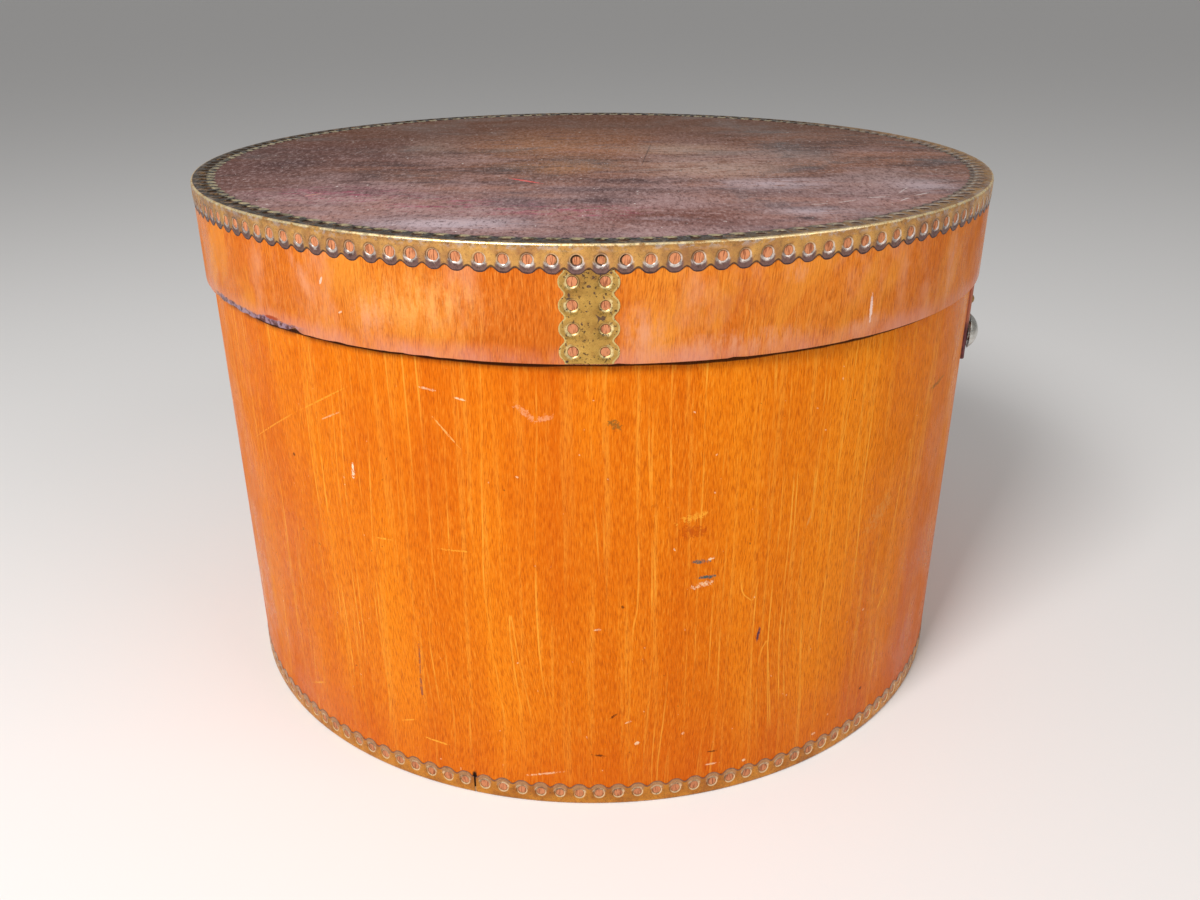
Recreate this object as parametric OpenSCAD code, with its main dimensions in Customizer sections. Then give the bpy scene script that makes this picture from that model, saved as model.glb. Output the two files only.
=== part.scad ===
/* [Body] */
// Outside diameter of the bent ply wall
body_d = 393; // [300:1:460]
// Height of the wall, from the bottom panel to the rim
wall_h = 252; // [180:1:320]
// Thickness of the wall ply
wall_ply = 2.6; // [2:0.1:4]
// Thickness of the bottom panel
bottom_ply = 3; // [2.4:0.1:5]
// Open slit where the two ends of a bent strip meet
butt_gap = 0.4; // [0.2:0.1:1]
// Place of the wall's joint round the box, from the front towards the right
wall_joint_az = 177; // [120:1:240]

/* [Lid] */
// Height of the bent lid band
band_h = 42; // [34:1:60]
// Thickness of the lid band ply
band_ply = 2.3; // [1.8:0.1:3.5]
// Thickness of the lid panel
lid_ply = 3; // [2.4:0.1:5]
// Running gap between the lid band and the wall
lid_clear = 0.8; // [0.8:0.05:1.5]
// Place of the lid's joint round the box, from the front towards the right
lid_joint_az = 13; // [-40:1:40]

/* [Edging strip] */
// Thickness of the strip metal
strip_t = 0.4; // [0.3:0.05:0.5]
// Distance between the two rows of holes
row_gap = 12; // [11:0.5:14]
// Distance from hole to hole along a row
hole_pitch = 8.82; // [8.2:0.01:10]
// Diameter of the punched holes
hole_d = 4.3; // [3:0.1:5]
// Depth of the two flats at the sides of a hole in the upright leg, which bending draws narrow
hole_flat = 0.05; // [0.04:0.01:0.1]
// Distance of a scallop's centre beyond its hole
lobe_out = 1.2; // [0.8:0.1:1.6]
// Gap between neighbouring scallops at their widest
scallop_gap = 0.5; // [0.4:0.05:1.2]
// Width of the flat tip of each scallop
tip_w = 1.6; // [0.8:0.1:2.4]
// Depth of the notch between two scallops
notch = 2.2; // [1.4:0.1:2.6]
// Inside radius of the fold
fold_r = 0.6; // [0.3:0.1:1.2]
// Place of the bottom edging's joint round the box, from the front towards the right
bottom_joint_az = -3; // [-30:1:30]
// Place of the lid edging's joint round the box, from the front towards the right
lid_edging_az = 193; // [150:1:230]

/* [Joint plates] */
// Distance from a plate's cut end to the edge of the ply
plate_inset = 0.5; // [0.5:0.1:3]
// Distance from a plate's cut end to its first holes
plate_end = 4.6; // [4:0.1:7]
// How far a plate's tongue reaches past the edge of the edging above it
tongue_lap = 3; // [2:0.5:5]

/* [Strap fittings] */
// Distance of the studs below the lid's lower edge
stud_drop = 36.5; // [33:0.5:60]
// Width of the leather tab
tab_w = 24; // [20:0.5:32]
// Height of the tab above its stud
tab_above = 27; // [20:0.5:30]
// Height of the tab below its stud
tab_below = 15; // [13:0.5:22]
// Thickness of the tab leather
tab_t = 3; // [2:0.1:4]
// Diameter of the stud's dome
dome_d = 17.6; // [14:0.2:20]
// Height of the stud's dome
dome_h = 4.6; // [3.5:0.1:6]
// Height of the neck under the dome
neck_h = 0.6; // [0.4:0.1:1.5]
// Diameter of the neck under the dome
neck_d = 10; // [7:0.5:12]
// Diameter of the stud's shank
shank_d = 4; // [3:0.1:5]
// Diameter of the washer inside the wall
washer_d = 11; // [9:0.5:14]
// Thickness of the washer inside the wall
washer_t = 0.8; // [0.6:0.1:1.5]
// Diameter of the stud's riveted end
rivet_d = 6.4; // [5.8:0.1:8]
// Thickness of the stud's riveted end
rivet_t = 1; // [0.7:0.1:1.6]
// Distance of the tack above the stud
tack_rise = 17; // [13:0.5:18]
// Diameter of the tack's head
tack_d = 4.6; // [3.6:0.1:6]
// Height of the tack's head
tack_h = 1.2; // [0.8:0.1:1.8]
// Diameter of the tack's shank
tack_shank_d = 1.5; // [1.2:0.1:2]
// Wood left behind the tack's point
tack_rest = 0.6; // [0.4:0.1:1]

/* [Hidden] */

// Clearance of a shank in its hole, all round
fit = 0.1;
// Room between the ply's rounded corner and the fold
fold_clear = 0.2;
// Room between the edging and what ends beside it
edge_clear = 0.2;
// Overrun of a cutting solid past the faces that it cuts
over = 1;
// Wide round pieces, and small round ones
$fn = 180;
small_fn = 32;

wall_r = body_d / 2;
wall_in_r = wall_r - wall_ply;
rim_z = bottom_ply + wall_h;
band_in_r = wall_r + lid_clear;
band_r = band_in_r + band_ply;
lid_edge_z = rim_z - band_h;
lid_top_z = rim_z + lid_ply;

lobe_r = (hole_pitch - scallop_gap) / 2;
// From the outside of the fold to the row of holes, the scallops' centres, their tips and the notches
row = row_gap / 2;
lobe_row = row + lobe_out;
leg = lobe_row + sqrt(pow(lobe_r, 2) - pow(tip_w / 2, 2));
notch_line = leg - notch;
strip_w = 2 * leg;

lid_tip_z = lid_top_z + strip_t - leg;

// The two strap fittings stand opposite each other, on the right and the left
right_az = 90;
left_az = -90;
strap_sides = [right_az, left_az];
stud_z = lid_edge_z - stud_drop;
tack_z = stud_z + tack_rise;
tab_r = wall_r + tab_t;
tack_tip_r = wall_in_r + tack_rest;
// A flat washer touches the hollow side of the wall at its rim
washer_x = sqrt(pow(wall_in_r, 2) - pow(washer_d / 2, 2)) - fit;

ply_colour = "#c8691c";
panel_colour = "#7a4630";
metal_colour = "#b08a3c";
leather_colour = "#6e2c2c";
nickel_colour = "#c9c8c4";

// Turns a piece made on the +X side to its place round the box, counted from the front
module at_az(az) {
    rotate([0, 0, az - 90]) children();
}

// A bent ply strip standing on edge, with the slit where its ends meet
module bent_strip(outer_r, inner_r, z0, z1, joint_az) {
    difference() {
        translate([0, 0, z0]) cylinder(r = outer_r, h = z1 - z0);
        translate([0, 0, z0 - over]) cylinder(r = inner_r, h = z1 - z0 + 2 * over);
        at_az(joint_az)
            translate([inner_r - over, -butt_gap / 2, z0 - over])
            cube([outer_r - inner_r + 2 * over, butt_gap, z1 - z0 + 2 * over]);
    }
}

// A sheet wrapped on a round face: children are its flat outline, y up, centred on the azimuth
module wrapped(inner_r, outer_r, az) {
    reach = strip_w + tab_w;
    intersection() {
        translate([0, 0, -over])
            difference() {
                cylinder(r = outer_r, h = lid_top_z + 2 * over);
                translate([0, 0, -over]) cylinder(r = inner_r, h = lid_top_z + 4 * over);
            }
        at_az(az)
            translate([outer_r - reach, 0, 0])
            rotate([90, 0, 90])
            linear_extrude(2 * reach) children();
    }
}

// Section of the folded strip: the corner of the ply is at [r, 0], one leg on top and one outside
module folded_section(r) {
    translate([r + strip_t - leg, 0]) square([leg - strip_t - fold_r, strip_t]);
    translate([r, strip_t - leg]) square([strip_t, leg - strip_t - fold_r]);
    translate([r - fold_r, -fold_r])
        intersection() {
            difference() {
                circle(r = fold_r + strip_t, $fn = small_fn);
                circle(r = fold_r, $fn = small_fn);
            }
            square(fold_r + strip_t);
        }
}

// Flat outline of the notch between two scallops, y outwards from the fold of the strip
module notch_outline(pitch) {
    side = (pitch - tip_w) / 2;
    difference() {
        translate([-side, notch_line]) square([2 * side, notch + over]);
        translate([-pitch / 2, lobe_row]) circle(r = lobe_r, $fn = small_fn);
        translate([pitch / 2, lobe_row]) circle(r = lobe_r, $fn = small_fn);
    }
}

// Flat outline of a hole in the upright leg, drawn narrow between two small flats
module drawn_hole() {
    translate([0, row])
        intersection() {
            circle(d = hole_d, $fn = small_fn);
            square([hole_d - 2 * hole_flat, 2 * hole_d], center = true);
        }
}

// Sets children, drawn flat on the strip, through the upright leg at each step from first_az
module through_upright(r, count, step, first_az) {
    for (i = [0 : count - 1])
        at_az(first_az + i * step)
            translate([r - over, 0, strip_t])
            rotate([-90, 0, -90])
            linear_extrude(strip_t + 2 * over) children();
}

// Sets children, drawn flat on the strip, through the flat leg at each step from first_az
module through_flat(r, count, step, first_az) {
    for (i = [0 : count - 1])
        at_az(first_az + i * step)
            translate([r + strip_t, 0, -over])
            rotate([0, 0, 90])
            linear_extrude(strip_t + 2 * over) children();
}

// A section turned round the box, open by a gap of the given width at the joint
module open_ring(r, gap, joint_az) {
    half_gap = asin(gap / 2 / r);
    at_az(joint_az + half_gap) rotate_extrude(angle = 360 - 2 * half_gap) children();
}

// The perforated strip folded round the corner of a ply disc and its band, at [r, 0]
module edging(r, joint_az) {
    n = round(2 * PI * r / hole_pitch);
    step = 360 / n;
    difference() {
        difference() {
            open_ring(r, butt_gap, joint_az) folded_section(r);
            through_upright(r, n - 1, step, joint_az + step) notch_outline(2 * PI * r / n);
            through_upright(r, n, step, joint_az + step / 2) drawn_hole();
        }
        through_flat(r, n - 1, step, joint_az + step) notch_outline(2 * PI * (r - lobe_row) / n);
        through_flat(r, n, step, joint_az + step / 2) translate([0, row]) circle(d = hole_d, $fn = small_fn);
    }
}

// Flat outline of a joint plate, from its cut end at y = 0: a length of the same strip
module plate_outline(length) {
    rows = ceil((length - plate_end - lobe_r) / hole_pitch);
    difference() {
        union() {
            translate([-notch_line, 0]) square([2 * notch_line, length]);
            intersection() {
                for (i = [0 : rows], side = [-1, 1])
                    translate([side * lobe_row, plate_end + i * hole_pitch]) circle(r = lobe_r, $fn = small_fn);
                translate([-leg, 0]) square([2 * leg, length]);
            }
        }
        for (i = [0 : rows], side = [-1, 1])
            translate([side * row, plate_end + i * hole_pitch]) circle(d = hole_d, $fn = small_fn);
    }
}

// Sets children, drawn from a plate's cut end at y = 0, at height cut_z and pointing up or down
module from_cut(cut_z, way) {
    translate([0, cut_z])
        mirror([0, way < 0 ? 1 : 0])
        children();
}

// Section of a joint plate along its length, x from the axis of the box: a sheet on the ply, and
// behind its end a tongue let into the ply. Both run on past the ends of the plate's outline.
module plate_section(r, sheet, whole) {
    lap = sheet - tongue_lap;
    polygon([
        [r, -over], [r + strip_t, -over], [r + strip_t, sheet], [r, sheet],
        [r, whole + over], [r - strip_t, whole + over], [r - strip_t, lap], [r, lap]
    ]);
}

// A plate over the joint of a bent strip. It lies on the ply as far as the edging's scallops at
// tip_z, and from there a tongue of it is let into the ply and runs under the edging to end_z.
module joint_plate(r, cut_z, tip_z, end_z, az) {
    way = sign(tip_z - cut_z);
    sheet = abs(tip_z - cut_z) - edge_clear;
    whole = abs(end_z - cut_z) - plate_inset;
    intersection() {
        rotate_extrude() from_cut(cut_z, way) plate_section(r, sheet, whole);
        at_az(az)
            translate([r - strip_w, 0, 0])
            rotate([90, 0, 90])
            linear_extrude(2 * strip_w) from_cut(cut_z, way) plate_outline(whole);
    }
}

// The shallow bed in the ply that takes a plate's tongue, open at the end of the ply
module tongue_bed(r, cut_z, tip_z, end_z, az) {
    way = sign(tip_z - cut_z);
    from = abs(tip_z - cut_z) - 2 * edge_clear - tongue_lap;
    to = abs(end_z - cut_z) + over;
    wrapped(r - strip_t, r + over, az)
        from_cut(cut_z, way)
        translate([-leg - edge_clear, from])
        square([2 * (leg + edge_clear), to - from]);
}

// Outline of a leather tab: round below, square above
module tab_outline() {
    translate([0, stud_z]) {
        intersection() {
            translate([0, tab_w / 2 - tab_below]) circle(d = tab_w, $fn = small_fn);
            translate([-tab_w / 2, -tab_below]) square([tab_w, tab_w / 2]);
        }
        translate([-tab_w / 2, tab_w / 2 - tab_below]) square([tab_w, tab_above + tab_below - tab_w / 2]);
    }
}

// Waste outside a rounded corner that points to +x and +y, for a section
module corner_waste(r) {
    difference() {
        translate([-r, -r]) square(r + over);
        translate([-r, -r]) circle(r = r, $fn = small_fn);
        translate([-2 * r - over, -2 * r]) square([r + over, 2 * r + over]);
        translate([-2 * r, -2 * r - over]) square([2 * r + over, r + over]);
    }
}

// A domed head on the axis, from h0 upwards, for a section
module dome_section(d, h, h0) {
    r = (pow(d / 2, 2) + pow(h, 2)) / (2 * h);
    intersection() {
        translate([0, h0 + h - r]) circle(r = r);
        translate([0, h0]) square([d / 2, h]);
    }
}

// A fastener whose section is drawn outwards from the axis of the box, turned to its place
module fastener(az, z) {
    at_az(az)
        translate([0, 0, z])
        rotate([0, 90, 0])
        rotate_extrude($fn = small_fn) children();
}

// A round hole along the radius, between two distances from the axis of the box
module radial_hole(az, z, d, from, to) {
    at_az(az)
        translate([from, 0, z])
        rotate([0, 90, 0])
        cylinder(d = d, h = to - from, $fn = small_fn);
}

// Flat ply disc that closes the body, with a step underneath that takes the edging's flat leg
module bottom_panel() {
    color(ply_colour)
        rotate_extrude()
        difference() {
            square([wall_r, bottom_ply]);
            translate([wall_r + strip_t - leg - edge_clear, -over]) square([leg + over, strip_t + over]);
            translate([wall_r, strip_t]) mirror([0, 1]) corner_waste(fold_r + fold_clear);
        }
}

// Three-ply sheet bent to a cylinder, bored for the studs and pricked for the tacks
module body_wall() {
    color(ply_colour)
        difference() {
            bent_strip(wall_r, wall_in_r, bottom_ply, rim_z, wall_joint_az);
            tongue_bed(wall_r, rim_z - plate_inset, leg, bottom_ply, wall_joint_az);
            for (az = strap_sides) {
                radial_hole(az, stud_z, shank_d + 2 * fit, wall_in_r - over, wall_r + over);
                radial_hole(az, tack_z, tack_shank_d + 2 * fit, tack_tip_r - fit, wall_r + over);
            }
        }
}

// Perforated strip folded round the bottom corner
module bottom_edging() {
    color(metal_colour)
        translate([0, 0, strip_t])
        mirror([0, 0, 1])
        edging(wall_r, bottom_joint_az);
}

// Length of the same strip over the joint of the wall, at the back
module body_joint_plate() {
    color(metal_colour)
        joint_plate(wall_r, rim_z - plate_inset, leg, bottom_ply, wall_joint_az);
}

// Leather tab that lies on the wall under its stud
module strap_tab(az) {
    color(leather_colour)
        difference() {
            wrapped(wall_r, tab_r, az) tab_outline();
            radial_hole(az, stud_z, shank_d + 2 * fit, wall_in_r, tab_r + over);
            radial_hole(az, tack_z, tack_shank_d + 2 * fit, wall_in_r, tab_r + over);
        }
}

// Domed stud, riveted over its washer inside the wall
module strap_stud(az) {
    rivet_r = washer_x - washer_t - rivet_t;
    color(nickel_colour)
        fastener(az, stud_z) {
            translate([0, rivet_r]) square([rivet_d / 2, rivet_t]);
            translate([0, rivet_r]) square([shank_d / 2, tab_r - rivet_r]);
            translate([0, tab_r]) square([neck_d / 2, neck_h]);
            dome_section(dome_d, dome_h, tab_r + neck_h);
        }
}

// Flat washers behind the two studs
module stud_washers() {
    color(metal_colour)
        for (az = strap_sides)
            fastener(az, stud_z)
                translate([shank_d / 2 + fit, washer_x - washer_t])
                square([(washer_d - shank_d) / 2 - fit, washer_t]);
}

// Small round-headed tacks that hold the upper ends of the two tabs
module tab_tacks() {
    color(metal_colour)
        for (az = strap_sides)
            fastener(az, tack_z) {
                translate([0, tack_tip_r]) square([tack_shank_d / 2, tab_r - tack_tip_r]);
                dome_section(tack_d, tack_h, tab_r);
            }
}

// Flat ply disc that closes the lid and rests on the rim of the wall
module lid_panel() {
    color(panel_colour)
        rotate_extrude()
        difference() {
            translate([0, rim_z]) square([band_r, lid_ply]);
            translate([band_r, lid_top_z]) corner_waste(fold_r + fold_clear);
        }
}

// Ply strip bent to a ring that slides down over the wall
module lid_band() {
    color(ply_colour)
        difference() {
            bent_strip(band_r, band_in_r, lid_edge_z, rim_z, lid_joint_az);
            tongue_bed(band_r, lid_edge_z + plate_inset, lid_tip_z, rim_z, lid_joint_az);
        }
}

// Perforated strip folded round the lid's corner
module lid_edging() {
    color(metal_colour)
        translate([0, 0, lid_top_z])
        edging(band_r, lid_edging_az);
}

// Length of the same strip over the joint of the lid band, at the front
module lid_joint_plate() {
    color(metal_colour)
        joint_plate(band_r, lid_edge_z + plate_inset, lid_tip_z, rim_z, lid_joint_az);
}

bottom_panel();
body_wall();
bottom_edging();
body_joint_plate();
strap_tab(right_az);  // strap_tab_right
strap_tab(left_az);  // strap_tab_left
strap_stud(right_az);  // strap_stud_right
strap_stud(left_az);  // strap_stud_left
stud_washers();
tab_tacks();
lid_panel();
lid_band();
lid_edging();
lid_joint_plate();
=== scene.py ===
import math
import random
import bmesh
import bpy
from mathutils import Matrix, Vector


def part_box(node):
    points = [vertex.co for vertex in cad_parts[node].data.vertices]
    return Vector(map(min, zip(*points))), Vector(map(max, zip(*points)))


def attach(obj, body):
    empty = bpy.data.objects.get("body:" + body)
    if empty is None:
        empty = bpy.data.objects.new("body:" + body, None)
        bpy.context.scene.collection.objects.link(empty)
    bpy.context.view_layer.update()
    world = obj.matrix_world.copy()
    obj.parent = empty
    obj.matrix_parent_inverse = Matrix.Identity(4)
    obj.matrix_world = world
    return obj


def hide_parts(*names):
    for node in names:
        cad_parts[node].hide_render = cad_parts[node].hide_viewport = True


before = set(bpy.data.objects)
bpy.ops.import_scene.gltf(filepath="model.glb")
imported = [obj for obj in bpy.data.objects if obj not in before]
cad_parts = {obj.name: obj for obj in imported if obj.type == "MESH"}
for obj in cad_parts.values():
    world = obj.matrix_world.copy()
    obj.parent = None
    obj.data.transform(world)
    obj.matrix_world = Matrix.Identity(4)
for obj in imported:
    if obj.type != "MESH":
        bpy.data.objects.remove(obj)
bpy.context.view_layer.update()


# The bottom panel is a plain ply disc under the wall. It is bare wood inside and underneath, aged to
# a dull tan, so it keeps its CAD shape and takes a material with grain along one way.
MM = 0.001


def paint(red, green, blue):
    """A colour as the eye reads it, from 0 to 255, in the linear values of a shader."""
    return tuple((c / 255) ** 2.2 for c in (red, green, blue)) + (1.0,)


def feed(tree, node, sockets):
    """Gives each named input of a shader node a value or a link."""
    for name, value in sockets.items():
        if isinstance(value, bpy.types.NodeSocket):
            tree.links.new(value, node.inputs[name])
        else:
            node.inputs[name].default_value = value


def add(tree, kind, sockets=None, **settings):
    """One shader node with its settings and what its inputs are fed."""
    node = tree.nodes.new("ShaderNode" + kind)
    for name, value in settings.items():
        setattr(node, name, value)
    feed(tree, node, sockets or {})
    return node


def blend(tree, factor, first, second):
    """Second colour laid over the first as far as the factor says."""
    # Sockets 0, 6 and 7 of a Mix node are its factor and its two colours
    return add(tree, "Mix", {0: factor, 6: first, 7: second}, data_type="RGBA").outputs[2]


def calc(tree, operation, first, second=0.0):
    """One step of arithmetic on values."""
    return add(tree, "Math", {0: first, 1: second}, operation=operation).outputs[0]


def times(tree, first, second):
    """Product of two values."""
    return calc(tree, "MULTIPLY", first, second)


def minus(tree, first, second):
    """Difference of two values."""
    return calc(tree, "SUBTRACT", first, second)


def vector_calc(tree, operation, first, second=(0, 0, 0)):
    """One step of arithmetic on vectors. A length or a dot product gives a value, the others a vector."""
    node = add(tree, "VectorMath", {0: first, 1: second}, operation=operation)
    return node.outputs["Value" if operation in ("LENGTH", "DOT_PRODUCT") else "Vector"]


def fade(tree, value, start, end, top=1.0):
    """Rises smoothly from 0 at start to top at end."""
    sockets = {"Value": value, "From Min": start, "From Max": end, "To Max": top}
    return add(tree, "MapRange", sockets, interpolation_type="SMOOTHSTEP").outputs[0]


def join(tree, x, y=0.0, z=0.0):
    """A vector from its three parts."""
    return add(tree, "CombineXYZ", {0: x, 1: y, 2: z}).outputs[0]


def washes(tree, colour, layers):
    """Lays colours over a first one. A layer has a pattern, the pattern's values where the layer starts
    and where it is full, the strength it has there, and its colour."""
    for pattern, start, end, strength, over in layers:
        colour = blend(tree, fade(tree, pattern, start, end, strength), colour, over)
    return colour


def noise(tree, vector, clouds, detail=3.0, roughness=0.55, warp=0.0):
    """Cloudy noise, with so many clouds a metre along each axis."""
    sockets = {"Vector": vector_calc(tree, "MULTIPLY", vector, clouds), "Scale": 1.0, "Detail": detail}
    sockets.update({"Roughness": roughness, "Distortion": warp})
    return add(tree, "TexNoise", sockets).outputs[0]


def new_material(name):
    """An empty material: its node tree and its Principled BSDF."""
    material = bpy.data.materials.new(name)
    material.use_nodes = True
    return material, material.node_tree, material.node_tree.nodes["Principled BSDF"]


def relief(tree, height, depth):
    """Normal of a surface on which a height from 0 to 1 stands up by so many metres."""
    return add(tree, "Bump", {"Strength": 1.0, "Distance": depth, "Height": height}).outputs[0]


def new_group(name, inputs, outputs):
    """An empty node group: its tree, its input sockets as seen inside, and the node its results go to."""
    tree = bpy.data.node_groups.new(name, "ShaderNodeTree")
    for way, sockets in (("INPUT", inputs), ("OUTPUT", outputs)):
        for socket, kind in sockets:
            tree.interface.new_socket(socket, in_out=way, socket_type=kind)
    return tree, tree.nodes.new("NodeGroupInput").outputs, tree.nodes.new("NodeGroupOutput")


# Grain of a sliced veneer whose fibres run along Y: broad tone, thin lines, fine fibres and short pores
VECTOR = "NodeSocketVector"
FLOAT = "NodeSocketFloat"
veneer, veneer_in, veneer_end = new_group(
    "veneer", [("Place", VECTOR)], [("Tone", FLOAT), ("Lines", FLOAT), ("Fibres", FLOAT), ("Pores", FLOAT)]
)
SWAY = 20 * MM
sway = noise(veneer, veneer_in["Place"], (8, 5, 40), 2.0)
sway = join(veneer, times(veneer, sway, SWAY))
swayed = vector_calc(veneer, "ADD", veneer_in["Place"], sway)
# A thin line runs wherever slow noise passes its middle within the line's width
LINE_W = 0.7 * MM
beside = vector_calc(veneer, "ADD", swayed, (LINE_W, 0, 0))
lines = 0.0
for spread in ((60, 1.3, 23), (96, 2.0, 47)):
    here = minus(veneer, noise(veneer, swayed, spread, 0.0), 0.5)
    there = minus(veneer, noise(veneer, beside, spread, 0.0), 0.5)
    crossed = calc(veneer, "LESS_THAN", times(veneer, here, there), 0.0)
    lines = calc(veneer, "MAXIMUM", lines, crossed)
strong = fade(veneer, noise(veneer, swayed, (44, 16, 31), 3.0, 0.65), 0.4, 0.66)
pores = noise(veneer, swayed, (2500, 380, 53), 1.0, 0.5)
feed(veneer, veneer_end, {
    "Tone": noise(veneer, swayed, (26, 2.2, 11), 3.0, 0.55),
    "Lines": times(veneer, lines, strong),
    "Fibres": noise(veneer, swayed, (2600, 240, 37), 2.0, 0.6),
    "Pores": fade(veneer, pores, 0.55, 0.68),
})


def grain(tree, place):
    """The veneer group on a material's own coordinates."""
    return add(tree, "Group", {"Place": place}, node_tree=veneer).outputs


def bare_wood(tree, place, dark, light):
    """Colour of raw aged ply along its grain."""
    wood = grain(tree, place)
    layers = [(wood["Tone"], 0.3, 0.7, 1.0, light), (wood["Fibres"], 0.35, 0.75, 0.5, dark)]
    colour = washes(tree, dark, layers)
    return blend(tree, times(tree, wood["Pores"], 0.5), colour, paint(84, 54, 32))


def object_place(tree):
    """Coordinates of the object in metres."""
    return add(tree, "TexCoord").outputs["Object"]


def paint_node(node, slot_material):
    """Puts a material on a CAD node that is shown as it is."""
    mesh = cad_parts[node].data
    mesh.materials.clear()
    mesh.materials.append(slot_material)


bottom_wood, tree, surface = new_material("bottom ply")
place = object_place(tree)
colour = bare_wood(tree, place, paint(132, 92, 56), paint(186, 142, 96))
stain = noise(tree, place, (16, 16, 3), 4.0, 0.6)
feed(tree, surface, {
    "Base Color": washes(tree, colour, [(stain, 0.52, 0.75, 0.6, paint(92, 62, 40))]),
    "Roughness": 0.72,
    "Normal": relief(tree, noise(tree, place, (620, 16, 37), 3.0), 0.1 * MM),
})
paint_node("bottom_panel", bottom_wood)


# The body wall is one sheet of three-ply bent to a cylinder, butted at the back and varnished outside
# to a deep amber. Years of use have scratched and chipped it; inside it is bare.
wall_low, wall_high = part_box("body_wall")
WALL_R = wall_high[0]
WALL_T = 2.6 * MM
WALL_EDGE = 0.5 * MM
WALL_STEPS = 300
BUTT_GAP = 0.4 * MM
WALL_JOINT = 177


def turned(azimuth):
    """Turn about Z that brings a piece made at +X to an azimuth, counted from the front to the right."""
    return Matrix.Rotation(math.radians(azimuth - 90), 4, "Z")


def everything(bm):
    """All that a bmesh holds, for an operator that takes geometry."""
    return bm.verts[:] + bm.edges[:] + bm.faces[:]


def bent_sheet(inner, outer, low, high, joint, edge, steps):
    """A ply strip standing on edge and bent round, open by the butt gap at its joint."""
    bm = bmesh.new()
    corners = [(inner, low), (outer, low), (outer, high), (inner, high)]
    section = bm.faces.new([bm.verts.new((r, 0, z)) for r, z in corners])
    bmesh.ops.bevel(
        bm, geom=section.verts[:], offset=edge, segments=3, profile=0.5, affect="VERTICES", material=-1
    )
    half_gap = math.degrees(BUTT_GAP / 2 / outer)
    bmesh.ops.transform(bm, matrix=turned(joint + half_gap), verts=bm.verts)
    sweep = math.radians(360 - 2 * half_gap)
    bmesh.ops.spin(bm, geom=everything(bm), axis=(0, 0, 1), cent=(0, 0, 0), angle=sweep, steps=steps)
    return bm


def finish_piece(bm, node, material, body, sharp=35):
    """Turns a bmesh into a shown piece that stands for a CAD node and has its name."""
    bmesh.ops.recalc_face_normals(bm, faces=bm.faces)
    mesh = bpy.data.meshes.new(node)
    bm.to_mesh(mesh)
    bm.free()
    for face in mesh.polygons:
        face.use_smooth = True
    mesh.set_sharp_from_angle(angle=math.radians(sharp))
    mesh.materials.append(material)
    piece = bpy.data.objects.new(node, mesh)
    bpy.context.scene.collection.objects.link(piece)
    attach(piece, body)
    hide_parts(node)


def split(tree, vector):
    """The three parts of a vector."""
    return add(tree, "SeparateXYZ", {0: vector}).outputs


def swivelled(tree, vector, angle):
    """A vector turned about Z by an angle that may be a socket."""
    sockets = {"Vector": vector, "Angle": angle}
    return add(tree, "VectorRotate", sockets, rotation_type="Z_AXIS").outputs[0]


def flat_length(tree, vector):
    """Length of a vector seen along Z, which for a place is its distance from the box's axis."""
    return vector_calc(tree, "LENGTH", vector_calc(tree, "MULTIPLY", vector, (1, 1, 0)))


# A round face rolled out flat: length round the box from the side opposite the joint, height, radius
unroll, unroll_in, unroll_end = new_group(
    "unrolled", [("Joint", FLOAT)], [("Place", VECTOR), ("Height", FLOAT)]
)
spun = swivelled(unroll, object_place(unroll), unroll_in["Joint"])
axes = split(unroll, spun)
round_box = times(unroll, calc(unroll, "ARCTAN2", axes[1], axes[0]), WALL_R)
flat_place = join(unroll, round_box, axes[2], flat_length(unroll, spun))
feed(unroll, unroll_end, {"Place": flat_place, "Height": axes[2]})


def unrolled(tree, joint):
    """The rolled-out coordinates and the height on a bent strip with its joint at that azimuth."""
    # At the joint's opposite the turned object points along +X
    angle = -math.radians(joint - 180 - 90)
    return add(tree, "Group", {"Joint": angle}, node_tree=unroll).outputs[:]


def rolled_out(azimuth, height, joint):
    """Where a spot at an azimuth in degrees and a height in mm lies on the rolled-out strip."""
    turn = (azimuth - joint + 360) % 360 - 180
    return (math.radians(turn) * WALL_R, height * MM, 0.0)


def shifted(tree, pattern, share, value):
    """A value shifted by a share of a pattern."""
    return add(tree, "Math", {0: pattern, 1: share, 2: value}, operation="MULTIPLY_ADD").outputs[0]


# One scratch, chip or stain: a ragged patch with a centre, a tilt, a length and a width
mark, mark_in, mark_end = new_group(
    "mark",
    [(name, VECTOR) for name in ("Place", "Centre", "Size")]
    + [(name, FLOAT) for name in ("Tilt", "Ragged", "Core")],
    [("Mask", FLOAT)],
)
offset = vector_calc(mark, "SUBTRACT", mark_in["Place"], mark_in["Centre"])
level = swivelled(mark, offset, mark_in["Tilt"])
reach = flat_length(mark, vector_calc(mark, "DIVIDE", level, mark_in["Size"]))
fray = minus(mark, noise(mark, mark_in["Place"], (800, 800, 3), 4.0, 0.75), 0.5)
reach = shifted(mark, fray, mark_in["Ragged"], reach)
feed(mark, mark_end, {"Mask": fade(mark, reach, 1.0, mark_in["Core"])})
FRAY = 2.2
SOFT_EDGE = 0.4


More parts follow.
